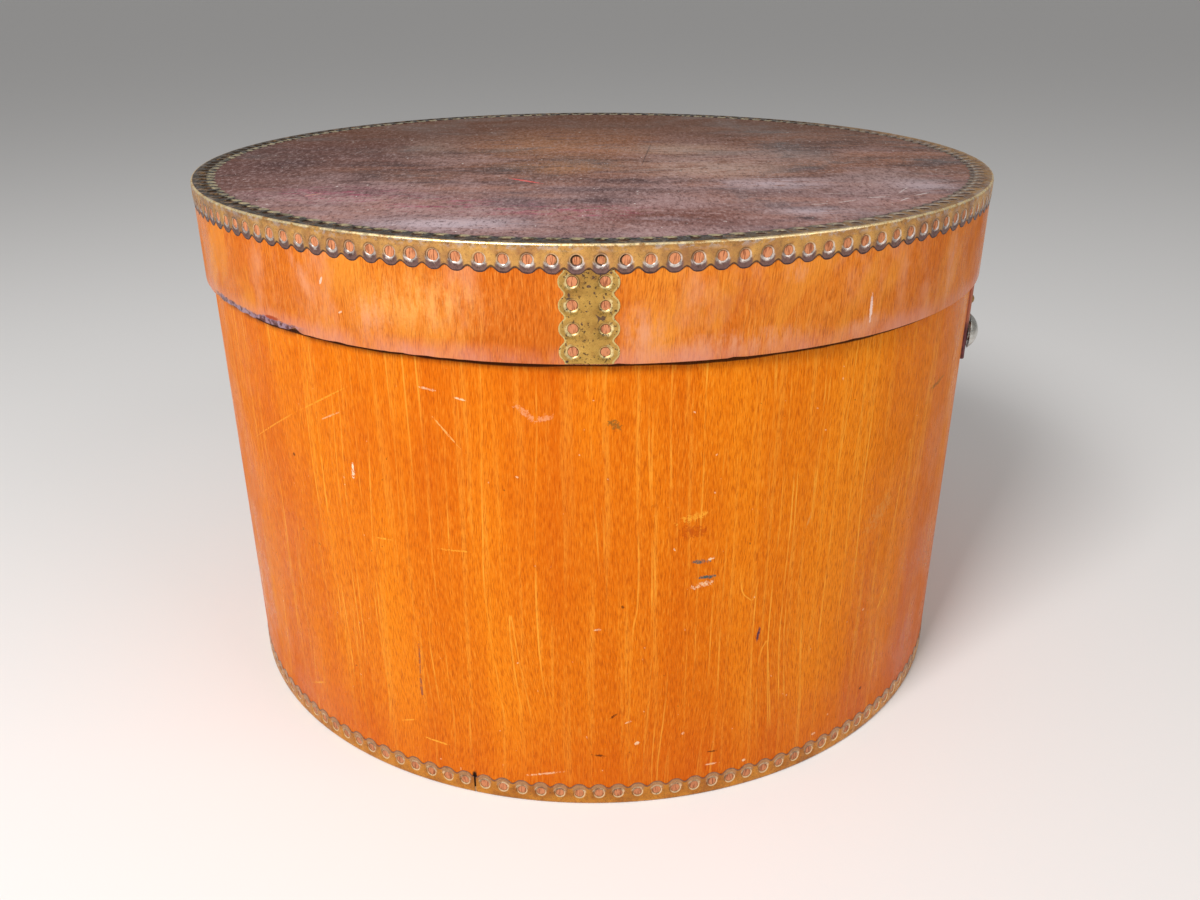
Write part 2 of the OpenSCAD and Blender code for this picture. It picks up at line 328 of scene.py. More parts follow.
def lay_marks(tree, place, colour, marks, joint=None, core=0.6, broken=1.0):
    """Lays marks over a colour: place, length and width in mm, tilt, colour, strength, and a raggedness if
    it isn't the soft one. On a strip with a joint the place is an azimuth and a height.

    Core is how far a mark is solid from its middle, and broken a mask that breaks all of them up."""
    for x, y, length, width, tilt, tint, strength, *own_edge in marks:
        centre = (x * MM, y * MM, 0.0) if joint is None else rolled_out(x, y, joint)
        size = (length / 2 * MM, width / 2 * MM, 1.0)
        sockets = {"Place": place, "Centre": centre, "Size": size}
        ragged = own_edge[0] if own_edge else SOFT_EDGE
        sockets.update({"Tilt": -math.radians(tilt), "Ragged": FRAY * ragged, "Core": core})
        mask = times(tree, add(tree, "Group", sockets, node_tree=mark).outputs["Mask"], broken)
        colour = blend(tree, times(tree, mask, strength), colour, tint)
    return colour


def varnished(tree, place, tones, lined):
    """Varnished veneer: deep, amber and gold tones with dark fibres and pores, and thin gold lines."""
    deep, amber, gold, pore = tones
    wood = grain(tree, place)
    silk = noise(tree, place, (300, 8, 71), 4.0, 0.6)
    colour = washes(tree, deep, [
        (wood["Tone"], 0.3, 0.7, 1.0, amber),
        (silk, 0.5, 0.7, 0.5 * lined, gold),
        (silk, 0.46, 0.3, 0.35, deep),
        (wood["Fibres"], 0.52, 0.74, 0.3, gold),
        (wood["Fibres"], 0.52, 0.3, 0.6, pore),
    ])
    colour = blend(tree, times(tree, wood["Lines"], lined), colour, gold)
    return blend(tree, times(tree, wood["Pores"], 0.2), colour, pore), wood


RAW_DARK = paint(140, 96, 58)
RAW_LIGHT = paint(196, 150, 102)


def ply_under(tree, place, colour, inner, thickness, skin):
    """Colour on the outer skin of a bent sheet, raw ply inside and on its edges, with a dark middle ply.

    Skin is where the colour starts and is full, as shares of the thickness. Gives its mask too."""
    depth = calc(tree, "DIVIDE", minus(tree, split(tree, place)[2], inner), thickness)
    middle = fade(tree, calc(tree, "ABSOLUTE", minus(tree, depth, 0.5)), 0.22, 0.16, 0.7)
    raw = bare_wood(tree, place, RAW_DARK, RAW_LIGHT)
    raw = blend(tree, middle, raw, paint(96, 62, 38))
    outside = fade(tree, depth, *skin)
    return blend(tree, outside, raw, colour), outside


def unvarnished(tree, wood):
    """Wood that never took varnish because brass covers it. It shows paler through the holes."""
    dark_fibres = fade(tree, wood["Fibres"], 0.52, 0.36, 0.75)
    return blend(tree, dark_fibres, paint(206, 134, 94), paint(112, 58, 40))


VENEER_RELIEF = 0.12 * MM


def varnish(tree, surface, wood, colour, rub, rough, outside, coat, coat_rough):
    """Gives a surface its varnished colour, a rubbed gloss and a thin coat on the outside only."""
    feed(tree, surface, {
        "Base Color": colour,
        "Roughness": fade(tree, rub, *rough),
        "Coat Weight": times(tree, outside, coat),
        "Coat Roughness": coat_rough,
        "Specular IOR Level": coat,
        "Normal": relief(tree, calc(tree, "ADD", wood["Fibres"], rub), VENEER_RELIEF),
    })


GOLD = paint(246, 170, 58)
PALE = paint(240, 205, 165)
TEAL = paint(62, 88, 88)
INK = paint(52, 48, 74)
OLIVE = paint(104, 84, 40)
SOOT = paint(70, 34, 18)
wall_marks = [
    (25.2, 145, 14, 3.4, 14, GOLD, 0.6, 1.6),
    (25.4, 138.5, 12, 8, 0, paint(168, 64, 14), 0.55, 1.4),
    (26.3, 124.1, 8.5, 2, -4, TEAL, 0.9, 1.6),
    (27.6, 124.8, 3, 1.2, 8, PALE, 0.9, 1.4),
    (27.2, 116.3, 9, 1.8, -2, TEAL, 0.95, 1.4),
    (26.7, 112.9, 8, 2.4, 9, PALE, 0.7, 2.4),
    (34.7, 82.5, 9, 1.5, 83, INK, 0.9, 0.8),
    (-3.7, 180.7, 19, 0.9, -48, paint(238, 170, 96), 0.8, 0.9),
    (5.7, 192.1, 11, 3, -41, paint(226, 150, 104), 0.75, 1.6),
    (7.8, 190, 8, 2.6, 18, paint(226, 150, 104), 0.7, 1.6),
    (15.7, 187.5, 6.5, 3.4, -37, OLIVE, 0.75, 2),
    (-1.8, 195.8, 6.5, 1, -11, PALE, 0.75, 1),
    (-5.8, 198.6, 9, 1, -7, PALE, 0.6, 1.4),
    (-33.7, 161.5, 60, 0.8, 30, GOLD, 0.5, 0.8),
    (-21.5, 185, 38, 0.8, 29, GOLD, 0.5, 0.8),
    (-20.6, 178, 15, 0.8, 27, PALE, 0.4, 0.8),
    (-17.6, 155.5, 8.5, 1.6, 90, paint(246, 226, 196), 0.95, 1.6),
    (-28.9, 152.7, 2.2, 2, 0, SOOT, 0.8, 0.8),
    (-9.9, 68.8, 21, 1.1, 88, INK, 0.5, 1.2),
    (-10, 53.3, 12, 1.5, 91, INK, 0.65, 1),
    (-30.6, 27.2, 19, 0.8, 27, GOLD, 0.7, 0.9),
    (-12.6, 32.1, 10, 0.9, 22, GOLD, 0.8, 0.9),
    (-8.3, 24.6, 14, 1.1, -4, GOLD, 0.9, 0.9),
    (6.6, 16.2, 17, 1.2, 12, PALE, 0.7, 1.2),
    (15.7, 49, 5, 1.1, 40, SOOT, 0.85, 1),
    (13.9, 27.6, 7, 1.3, -6, SOOT, 0.8, 1.4),
    (17.7, 45.6, 3.4, 1, 19, PALE, 0.8, 1),
    (18.8, 33.7, 3, 2.2, 0, PALE, 0.9, 1.2),
    (29, 16.3, 8, 1, 0, PALE, 0.7, 1.2),
    (29.1, 23.5, 7, 1, -3, SOOT, 0.8, 1.2),
    (33.8, 13.9, 2, 1.8, 0, PALE, 0.9, 0.8),
    (45.4, 14.5, 2.4, 1.8, 0, PALE, 0.8, 0.8),
    (24.9, 36.6, 1.8, 1.8, 0, PALE, 0.8, 0.6),
    (54.7, 26.6, 2.4, 2.2, 0, SOOT, 0.8, 0.6),
    (57.2, 73.3, 16, 1.4, 63, GOLD, 0.7, 1),
    (54.4, 124.6, 22, 9, 41, paint(214, 142, 70), 0.5, 2.2),
    (41, 133.9, 8, 1.4, 71, paint(214, 142, 70), 0.7, 1),
    (66.6, 174.7, 17, 2.4, 7, OLIVE, 0.6, 1.6),
    (-13.8, 126.4, 10, 0.9, 5, GOLD, 0.7, 1),
    (-3.7, 127.8, 14, 0.9, 3, GOLD, 0.55, 1.6),
    (13.7, 94.2, 3, 1, 10, PALE, 0.7, 1.2),
    (16.8, 105.2, 1.8, 1.8, 0, SOOT, 0.7, 0.6),
]
slit_shadow = [(-3, 6, 3.4, 16, 0, paint(24, 14, 10), 1.0, 0.2)]
# Height where the dark line of dirt and painted shadow under the lid begins
DIRT_AND_SHADOW_Z = 209.6 * MM
BARE_BELOW = 9.0 * MM
lid_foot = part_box("lid_band")[0][2]
wall_wood, tree, surface = new_material("varnished wall")
place, height = unrolled(tree, WALL_JOINT)
tones = (paint(212, 103, 12), paint(232, 128, 22), paint(250, 176, 66), paint(160, 66, 8))
colour, wood = varnished(tree, place, tones, 0.55)
specks = noise(tree, place, (330, 300, 61), 2.0, 0.5)
colour = washes(tree, colour, [
    (noise(tree, place, (7, 5, 3), 3.0, 0.6), 0.5, 0.72, 0.3, paint(190, 76, 12)),
    (height, 60 * MM, 8 * MM, 0.25, paint(190, 62, 8)),
    (specks, 0.74, 0.78, 0.6, PALE),
    (specks, 0.25, 0.21, 0.7, SOOT),
])
flaky = fade(tree, noise(tree, place, (640, 420, 67), 4.0, 0.7), 0.36, 0.52)
colour = lay_marks(tree, place, colour, wall_marks, WALL_JOINT, broken=flaky)
# A dark line of dirt and painted shadow runs round the wall just below the lid's lower edge, where the lid
# rests against it
lid_line_wobble = noise(tree, place, (16, 3, 83), 3.0, 0.6)
under_lid = shifted(tree, lid_line_wobble, -4 * MM, minus(tree, height, DIRT_AND_SHADOW_Z))
hidden = fade(tree, height, lid_foot + 1.6 * MM, lid_foot + 0.4 * MM, 0.9)
dirt_and_shadow = times(tree, fade(tree, under_lid, -0.6 * MM, 0.0), hidden)
# The line's dark colour is dirt together with the painted shadow of the lid's edge
colour = blend(tree, dirt_and_shadow, colour, paint(36, 16, 8))
# The foot of the wall is bare under the edging, and dark behind the slit where the edging's ends meet
colour = washes(tree, colour, [(height, BARE_BELOW, BARE_BELOW - 0.5 * MM, 1.0, unvarnished(tree, wood))])
colour = lay_marks(tree, place, colour, slit_shadow, WALL_JOINT)
colour, outside = ply_under(tree, place, colour, WALL_R - WALL_T, WALL_T, (0.93, 0.99))
rub = noise(tree, place, (40, 22, 9), 5.0, 0.7)
varnish(tree, surface, wood, colour, rub, (0.1, 0.8, 0.62), outside, 0.04, 0.25)

bm = bent_sheet(WALL_R - WALL_T, WALL_R, wall_low[2], wall_high[2], WALL_JOINT, WALL_EDGE, WALL_STEPS)
finish_piece(bm, "body_wall", wall_wood, "body")


# The bottom edging is a stamped brass strip with a row of holes and a scalloped edge on each side,
# folded along its middle round the bottom corner. Each hole is dished in by the punch.
STRIP_T = 0.4 * MM
FOLD_R = 1.0 * MM
ROW = 6.0 * MM
PITCH = 8.82 * MM
# The punch leaves a burr inside each hole and a shallow dish round it
BURR_R = 1.5 * MM
BURR_Z = -0.48 * MM
HOLE_R = 2.05 * MM
DISH_R = 2.36 * MM
HOLLOW = 0.26 * MM
SINK = 0.06 * MM
NOTCH = 2.2 * MM
# Holes are out of place by the stray and out of size by the swell. Scallops are pressed down by the curl
STRAY = 0.12 * MM
SWELL = 0.06
RING_CURL = 0.3 * MM
PLATE_CURL = 0.1 * MM
# A ring is seated so deep, and its upright side rides so far over a joint plate
RING_SEAT = 0.09 * MM
RIDE_OVER = 0.36 * MM
RIDE_RUN = 2.5 * MM
RIDE_RISE = 3.0 * MM
STRIP_SHARP = 60
edging_low, edging_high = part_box("bottom_edging")
LEG = edging_high[2] - edging_low[2]
# Half of one scallop: share of the half pitch from the hole, share of the notch depth
SCALLOP = [(0.85, 0.09), (0.65, 0.43), (0.45, 0.78), (0.22, 0.96)]


def cell_outline(pitch):
    """Edge of the metal round one hole on one side of the fold, from below the hole anticlockwise."""
    half = pitch / 2
    base = FOLD_R - ROW
    valley = LEG - NOTCH - ROW
    right = [(half / 2, base), (half, base), (half, -0.45 * ROW), (half, 0.05 * ROW), (half, valley)]
    right += [(share * half, valley + rise * NOTCH) for share, rise in SCALLOP]
    left = [(-x, y) for x, y in reversed(right)]
    return [(0.0, base)] + right + [(0.0, LEG - ROW)] + left


def verts_of(geom):
    """The vertices among what an operator gave back."""
    return [item for item in geom if isinstance(item, bmesh.types.BMVert)]


def strip_cell(bm, pitch):
    """One hole of the strip with its dished rim and its share of the scalloped edge."""
    outline = cell_outline(pitch)
    count = len(outline)
    ring = bmesh.ops.create_circle(bm, segments=count, radius=BURR_R)["verts"]
    for i, vert in enumerate(ring):
        angle = 2 * math.pi * i / count - math.pi / 2
        vert.co = (BURR_R * math.cos(angle), ROW + BURR_R * math.sin(angle), BURR_Z)
    edges = bm.edges[:]
    for radius, height in ((HOLE_R, -HOLLOW), (DISH_R, SINK), (None, 0.0)):
        wider = bmesh.ops.extrude_edge_only(bm, edges=edges)["geom"]
        edges = [item for item in wider if isinstance(item, bmesh.types.BMEdge)]
        for vert in verts_of(wider):
            angle = math.atan2(vert.co.y - ROW, vert.co.x)
            if radius is None:
                i = round((angle + math.pi / 2) / (2 * math.pi) * count) % count
                vert.co = (outline[i][0], ROW + outline[i][1], height)
            else:
                vert.co = (radius * math.cos(angle), ROW + radius * math.sin(angle), height)


def flat_strip(cells, pitch, curl, seed):
    """A straight length of the strip, both sides, with its rolled-flat place kept as UV."""
    bm = bmesh.new()
    strip_cell(bm, pitch)
    other = bmesh.ops.duplicate(bm, geom=everything(bm))["geom"]
    bmesh.ops.scale(bm, vec=(1, -1, 1), verts=verts_of(other))
    cell = everything(bm)
    for i in range(1, cells):
        copy = bmesh.ops.duplicate(bm, geom=cell)["geom"]
        bmesh.ops.translate(bm, vec=(i * pitch, 0, 0), verts=verts_of(copy))
    length = cells * pitch
    fold = bmesh.ops.create_grid(bm, x_segments=4 * cells, y_segments=4, size=0.5)["verts"]
    for vert in fold:
        vert.co = (vert.co.x * length + (length - pitch) / 2, vert.co.y * 2 * FOLD_R, 0)
    bmesh.ops.remove_doubles(bm, verts=bm.verts, dist=0.02 * MM)
    flat = bm.verts.layers.float_vector.new("flat")
    chance = random.Random(seed)
    wobble = {}
    for vert in bm.verts:
        vert[flat] = (vert.co.x / pitch, vert.co.y / ROW, 0)
        key = (round(vert.co.x / pitch), vert.co.y > 0)
        if key not in wobble:
            wobble[key] = [chance.uniform(-1, 1) for _ in range(3)]
        shift, drop, width = wobble[key]
        hole = Vector((key[0] * pitch, ROW if vert.co.y > 0 else -ROW, 0))
        off = Vector((vert.co.x - hole.x, vert.co.y - hole.y, 0))
        if off.length < DISH_R * 1.05:
            vert.co += off * width * SWELL + Vector((shift, drop, 0)) * STRAY
        # The scallops are pressed down towards the wood at their tips
        beyond_hole = max(0.0, (abs(vert.co.y) - ROW) / (LEG - ROW))
        vert.co.z -= curl * beyond_hole * beyond_hole
    borders = [edge for edge in bm.edges if edge.is_boundary]
    rim = [edge for edge in borders if min(vert.co.z for vert in edge.verts) > -HOLLOW]
    skirt = bmesh.ops.extrude_edge_only(bm, edges=rim)["geom"]
    bmesh.ops.translate(bm, vec=(0, 0, -STRIP_T), verts=verts_of(skirt))
    sheet = bm.loops.layers.uv.new("strip")
    for face in bm.faces:
        for loop in face.loops:
            loop[sheet].uv = loop.vert[flat].xy
    return bm


def folded_ring(radius, corner_z, up, holes, joint, slit, plate_az, seed):
    """The strip folded round a disc's corner and bent into a ring. Up is 1 for a lid and -1 for a base."""
    pitch = 2 * math.pi * radius / holes
    bm = flat_strip(holes, pitch, RING_CURL, seed)
    gap = slit / (holes * pitch)
    for vert in bm.verts:
        along, over, height = vert.co
        share = (along + pitch / 2) / (holes * pitch)
        azimuth = joint + 360 * (gap / 2 + share * (1 - gap))
        height -= RING_SEAT
        if abs(over) < FOLD_R:
            angle = math.radians(45 - 45 * over / FOLD_R)
            out = radius - FOLD_R + (FOLD_R + height) * math.cos(angle)
            rise = -FOLD_R + (FOLD_R + height) * math.sin(angle)
        elif over > 0:
            # The upright side rides up where the joint plate lies under it
            from_plate = abs((azimuth - plate_az + 180) % 360 - 180) * math.pi / 180 * radius
            ride = max(0.0, min(1.0, (LEG + RIDE_RUN - from_plate) / RIDE_RUN))
            ride *= min(1.0, (over - FOLD_R) / RIDE_RISE)
            out = radius + height + RIDE_OVER * ride * ride * (3 - 2 * ride)
            rise = -over
        else:
            out = radius + over
            rise = height
        turn = math.radians(azimuth - 90)
        vert.co = (out * math.cos(turn), out * math.sin(turn), corner_z + up * rise)
    return bm


def flat_plate(radius, cut_z, up, cells, end, az, seed):
    """A straight length of the strip laid over a joint, from its cut end at cut_z upwards or downwards."""
    bm = flat_strip(cells, PITCH, PLATE_CURL, seed)
    at_start = {vert for vert in bm.verts if abs(vert.co.x + PITCH / 2) < 0.01 * MM}
    start = [edge for edge in bm.edges if at_start.issuperset(edge.verts)]
    stub = bmesh.ops.extrude_edge_only(bm, edges=start)["geom"]
    for vert in verts_of(stub):
        vert.co.x = -end
    for vert in bm.verts:
        along, over, height = vert.co
        out = radius + STRIP_T - SINK + height
        turn = math.radians(az - 90) + over / radius
        vert.co = (out * math.cos(turn), out * math.sin(turn), cut_z + up * (along + end))
    return bm


# Brass by its place on the strip, in mm from the nearest hole: worn at the fold, tarnished at the
# scallops, with painted highlights and painted shade round the dished hole rims
COLOUR = "NodeSocketColor"
LOBE_FOOT = 4.3
LOBE_CROWN = 1.1
brass, brass_in, brass_end = new_group(
    "strip brass",
    [(name, COLOUR) for name in ("Clean", "Dull", "Tip", "Rim", "Edge")]
    + [("Shade_toward", VECTOR), ("Pitted", FLOAT)],
    [("Colour", COLOUR), ("Rough", FLOAT), ("Height", FLOAT), ("Over", FLOAT), ("Lobes", FLOAT)],
)
solid = object_place(brass)
strip_uv = split(brass, add(brass, "UVMap", uv_map="strip").outputs[0])
cell_x = minus(brass, calc(brass, "FRACT", calc(brass, "ADD", strip_uv[0], 0.5)), 0.5)
cell_y = minus(brass, calc(brass, "ABSOLUTE", strip_uv[1]), 1.0)
from_hole_x = times(brass, cell_x, PITCH / MM)
from_hole_y = times(brass, cell_y, ROW / MM)
from_hole_at = join(brass, from_hole_x, from_hole_y)
from_hole = vector_calc(brass, "LENGTH", from_hole_at)


def hole_ring(inner, full, falling, outer):
    """Mask of a ring round each hole, by where it starts, is full, falls off and ends."""
    return times(brass, fade(brass, from_hole, inner, full), fade(brass, from_hole, outer, falling))


cloud = noise(brass, solid, (70, 70, 70), 5.0, 0.65)
grit = noise(brass, solid, (620, 620, 620), 4.0, 0.7)
# Lobe is how far the scalloped edge stands out here, and to_edge what is left to it
frayed = shifted(brass, cloud, 2.4, -1.2)
lobe = fade(brass, calc(brass, "ABSOLUTE", from_hole_x), LOBE_FOOT, LOBE_CROWN)
edge_here = shifted(brass, lobe, NOTCH / MM, (LEG - NOTCH - ROW) / MM)
to_edge = minus(brass, edge_here, from_hole_y)
cup = fade(brass, calc(brass, "ADD", from_hole_y, frayed), 0.4, 1.9, 0.9)
cup = times(brass, cup, fade(brass, lobe, 0.1, 0.6))
# Painted line along the scalloped edge in the Edge colour: a dark painted shadow where the edge stands off
# the wood, and a light painted highlight on the plates
painted_edge_line = fade(brass, shifted(brass, frayed, 0.5, to_edge), 0.9, 0.35, 0.85)
shine = noise(brass, solid, (330, 330, 330), 3.0, 0.6)
# Painted highlights on the beads below each hole, where they catch the light, broken up by the shine noise
bead_highlights = times(brass, hole_ring(2.2, 2.5, 2.7, 3.4), fade(brass, from_hole_y, 0.0, 1.4))
bead_highlights = times(brass, bead_highlights, fade(brass, shine, 0.42, 0.6, 0.95))
# Painted light round each dished rim: painted shade on the side turned away from the light, in the burr
# and in a groove, and a painted highlight on the other side
toward_shade = vector_calc(brass, "DOT_PRODUCT", from_hole_at, brass_in["Shade_toward"])
shaded_side = fade(brass, calc(brass, "DIVIDE", toward_shade, from_hole), -0.5, 0.6)
# Painted highlight on the rim, strongest on the side towards the light
rim = hole_ring(1.98, 2.1, 2.35, 2.75)
rim = times(brass, rim, shifted(brass, shaded_side, -0.6, 0.8))
# Painted shade in the burr inside each hole, darkest on the shaded side
funnel_shade = fade(brass, from_hole, 2.14, 1.98)
funnel_shade = times(brass, funnel_shade, shifted(brass, shaded_side, 0.5, 0.45))
# Painted shade in a groove round the dish on the shaded side
groove_shade = times(brass, shaded_side, fade(brass, cloud, 0.35, 0.6, 0.7))
groove_shade = times(brass, hole_ring(2.3, 2.5, 2.6, 3.1), groove_shade)
pits = fade(brass, noise(brass, solid, (950, 950, 950), 2.0, 0.5), 0.61, 0.67, 0.75)
spots = fade(brass, noise(brass, solid, (430, 430, 430), 2.0, 0.5), 0.65, 0.69, 0.8)
colour = washes(brass, brass_in["Clean"], [
    (cloud, 0.38, 0.66, 1.0, brass_in["Dull"]),
    (grit, 0.56, 0.7, 0.6, brass_in["Dull"]),
])
for mask, over in [
    (cup, brass_in["Tip"]),
    (painted_edge_line, brass_in["Edge"]),
    (bead_highlights, brass_in["Rim"]),
    (rim, brass_in["Rim"]),
    (funnel_shade, paint(26, 14, 12)),
    (groove_shade, paint(70, 48, 36)),
    (times(brass, pits, brass_in["Pitted"]), paint(52, 38, 40)),
    (times(brass, spots, brass_in["Pitted"]), paint(70, 52, 60)),
]:
    colour = blend(brass, mask, colour, over)
feed(brass, brass_end, {
    "Colour": colour,
    "Rough": fade(brass, grit, 0.15, 0.85, 0.75),
    "Height": shifted(brass, cloud, 0.6, grit),
    "Over": strip_uv[1],
    "Lobes": times(brass, fade(brass, from_hole_y, 0.8, 2.0), fade(brass, lobe, 0.2, 0.6)),
})


def strip_brass(name, sockets, flat_dull=None, silver=0.0):
    """A brass finish for a length of the strip. flat_dull is the tarnish and painted shade of a lid's flat
    side, and silver how much of the fold has silvery flakes."""
    material, tree, surface = new_material(name)
    metal = add(tree, "Group", sockets, node_tree=brass).outputs
    colour = metal["Colour"]
    place = object_place(tree)
    flakes = noise(tree, place, (240, 240, 420), 5.0, 0.7)
    if silver:
        from_fold = calc(tree, "ABSOLUTE", metal["Over"])
        flaked = times(tree, fade(tree, flakes, 0.5, 0.58, silver), fade(tree, from_fold, 0.6, 0.1))
        colour = blend(tree, flaked, colour, paint(206, 196, 194))
        worn = times(tree, fade(tree, from_fold, 0.2, 0.06), fade(tree, flakes, 0.36, 0.5, 0.85))
        colour = blend(tree, worn, colour, paint(244, 222, 170))
    if flat_dull:
        # On the lid's flat side: dark tarnish with painted shade, more dirt and painted shade towards the
        # scallop tips, and painted highlights on the lobes
        top = fade(tree, metal["Over"], -0.13, -0.2)
        rubbed = blend(tree, fade(tree, flakes, 0.5, 0.62, 0.6), flat_dull, colour)
        grime_and_shade = shifted(tree, flakes, -0.8, times(tree, metal["Over"], -1.0))
        rubbed = blend(tree, fade(tree, grime_and_shade, 0.6, 0.9, 0.9), rubbed, paint(30, 24, 20))
        # Painted highlights where the lobes catch the light
        lobe_highlights = times(tree, metal["Lobes"], fade(tree, flakes, 0.36, 0.56, 0.9))
        rubbed = blend(tree, lobe_highlights, rubbed, paint(222, 202, 158))
        # Towards the right the flat side keeps its lighter colour, as less shade is painted there
        rubbed = washes(tree, rubbed, [(split(tree, place)[0], 70 * MM, 160 * MM, 0.65, colour)])
        colour = blend(tree, top, colour, rubbed)
    feed(tree, surface, {
        "Base Color": colour,
        "Roughness": metal["Rough"],
        "Metallic": 0.75,
        "Normal": relief(tree, metal["Height"], 0.08 * MM),
    })
    return material


BASE_HOLES = 140
BASE_JOINT = -3
BASE_SLIT = 0.9 * MM
base_brass = strip_brass("base edging brass", {
    "Clean": paint(206, 140, 56),
    "Dull": paint(166, 104, 46),
    "Tip": paint(176, 134, 96),
    "Rim": paint(240, 212, 170),
    "Edge": paint(120, 92, 82),
    "Shade_toward": (-0.6, 0.8, 0.0),
    "Pitted": 0.3,
})
bm = folded_ring(edging_high[0], 0.0, -1, BASE_HOLES, BASE_JOINT, BASE_SLIT, WALL_JOINT, 11)
finish_piece(bm, "bottom_edging", base_brass, "body", STRIP_SHARP)


# A length of the same strip is nailed up the back over the butt joint of the wall. Its foot runs under
# the bottom edging and its cut end stops short of the rim.
plate_low, plate_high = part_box("body_joint_plate")
PLATE_END = 4.6 * MM
plate_brass = strip_brass("joint plate brass", {
    "Clean": paint(198, 154, 78),
    "Dull": paint(164, 120, 60),
    "Tip": paint(190, 148, 78),
    "Rim": paint(240, 216, 156),
    # The plates' Edge colour is a painted highlight along their edges
    "Edge": paint(216, 192, 126),
    "Shade_toward": (0.8, -0.6, 0.0),
    "Pitted": 1.0,
})
cells = int((plate_high[2] - plate_low[2] - PLATE_END + PITCH / 2) / PITCH)
bm = flat_plate(WALL_R, plate_high[2], -1, cells, PLATE_END, WALL_JOINT, 23)
finish_piece(bm, "body_joint_plate", plate_brass, "body", STRIP_SHARP)


# Two leather tabs lie on the wall at the sides, rounded below, square above and skived thin towards
# their long edges. The leather is oxblood, with painted light in tan at the upper ends, where light from
# above falls on them.
TAB_T = 3.0 * MM
TAB_ROUND = 14
TAB_SKIVE = 0.55
TAB_EDGE = 0.8 * MM
TAB_BENDS = 4


def strap_tab(node, side):
    """A tab cut from thick leather, its edges rounded, bent to the wall at one side of the box."""
    low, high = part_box(node)
    half = (high[1] - low[1]) / 2
    foot = low[2] + half
    arc = [math.pi * (1 + i / TAB_ROUND) for i in range(TAB_ROUND + 1)]
    outline = [(half * math.cos(a), foot + half * math.sin(a)) for a in arc]
    outline += [(half, high[2]), (-half, high[2])]
    bm = bmesh.new()
    face = bm.faces.new([bm.verts.new((y, 0, z)) for y, z in outline])
    raised = bmesh.ops.extrude_face_region(bm, geom=[face])["geom"]
    bmesh.ops.translate(bm, vec=(0, TAB_T, 0), verts=verts_of(raised))
    front = [edge for edge in bm.edges if all(vert.co.y > TAB_T / 2 for vert in edge.verts)]
    bmesh.ops.bevel(
        bm, geom=front, offset=TAB_EDGE, segments=3, profile=0.5, affect="EDGES", material=-1
    )
    for i in range(1 - TAB_BENDS, TAB_BENDS):
        cut = (i * half / TAB_BENDS, 0, 0)
        bmesh.ops.bisect_plane(bm, geom=everything(bm), dist=1e-6, plane_co=cut, plane_no=(1, 0, 0))
    for vert in bm.verts:
        turn = math.radians(side - 90) + vert.co.x / WALL_R
        skived = 1 - TAB_SKIVE * (vert.co.x / half) ** 2
        out = WALL_R + vert.co.y * skived
        vert.co = (out * math.cos(turn), out * math.sin(turn), vert.co.z)
    finish_piece(bm, node, leather, "body")


leather, tree, surface = new_material("oxblood leather")
place = object_place(tree)
creases = noise(tree, place, (420, 420, 420), 5.0, 0.65)
wear = noise(tree, place, (90, 90, 90), 4.0, 0.6)
height = shifted(tree, wear, 20 * MM, split(tree, place)[2])
colour = washes(tree, paint(70, 26, 32), [
    (creases, 0.3, 0.7, 1.0, paint(118, 50, 54)),
    (wear, 0.52, 0.72, 0.5, paint(164, 96, 86)),
    # Painted light: the upper ends are lighter tan where light from above falls on them
    (height, 188 * MM, 196 * MM, 0.8, paint(184, 100, 64)),
])
normal = relief(tree, creases, 0.3 * MM)
feed(tree, surface, {"Base Color": colour, "Roughness": 0.62, "Normal": normal})
strap_tab("strap_tab_right", 90)
strap_tab("strap_tab_left", -90)


# A domed nickel stud is riveted through each tab and the wall, and a small brass tack holds the tab's
# upper end. They are turned and pressed pieces, worn bright on the crown.
TURN_STEPS = 40
TURNED_SHARP = 50


def turned_piece(bm, profile, side, z):
    """Adds a piece spun about a radius of the box, by distances from that radius and from the axis."""
    before = set(bm.verts)
    points = [bm.verts.new((out, 0, away)) for away, out in profile]
    line = [bm.edges.new(pair) for pair in zip(points, points[1:])]
    way = {"axis": (1, 0, 0), "cent": (0, 0, 0), "angle": 2 * math.pi}
    bmesh.ops.spin(bm, geom=points + line, steps=TURN_STEPS, use_merge=True, **way)
    added = [vert for vert in bm.verts if vert not in before]
    bmesh.ops.remove_doubles(bm, verts=added, dist=0.005 * MM)
    place = turned(side)
    place.translation = (0, 0, z)
    added = [vert for vert in bm.verts if vert not in before]
    bmesh.ops.transform(bm, matrix=place, verts=added)


def dome(radius, height, seat, steps):
    """Profile of a domed head from its rim to its crown."""
    ball = (radius * radius + height * height) / (2 * height)
    spread = math.asin(radius / ball)
    angles = [spread * (1 - i / steps) for i in range(steps + 1)]
    return [(ball * math.sin(a), seat + height - ball + ball * math.cos(a)) for a in angles]


nickel, tree, surface = new_material("worn nickel")
place = object_place(tree)
haze = noise(tree, place, (160, 160, 160), 5.0, 0.7)
hair = noise(tree, place, (900, 300, 2400), 3.0, 0.7)
feed(tree, surface, {
    "Base Color": washes(tree, paint(214, 212, 206), [(haze, 0.35, 0.7, 1.0, paint(150, 142, 130))]),
    "Roughness": fade(tree, calc(tree, "ADD", haze, hair), 0.4, 1.6, 0.6),
    "Metallic": 1.0,
    "Normal": relief(tree, hair, 0.02 * MM),
})
tack_brass, tree, surface = new_material("tack brass")
place = object_place(tree)
haze = noise(tree, place, (500, 500, 500), 5.0, 0.7)
feed(tree, surface, {
    "Base Color": washes(tree, paint(196, 152, 78), [(haze, 0.35, 0.7, 1.0, paint(110, 78, 42))]),
    "Roughness": fade(tree, haze, 0.2, 0.9, 0.7),
    "Metallic": 0.9,
    "Normal": relief(tree, haze, 0.05 * MM),
})
DOME_R = 8.8 * MM
DOME_H = 4.6 * MM
NECK_R = 5.0 * MM
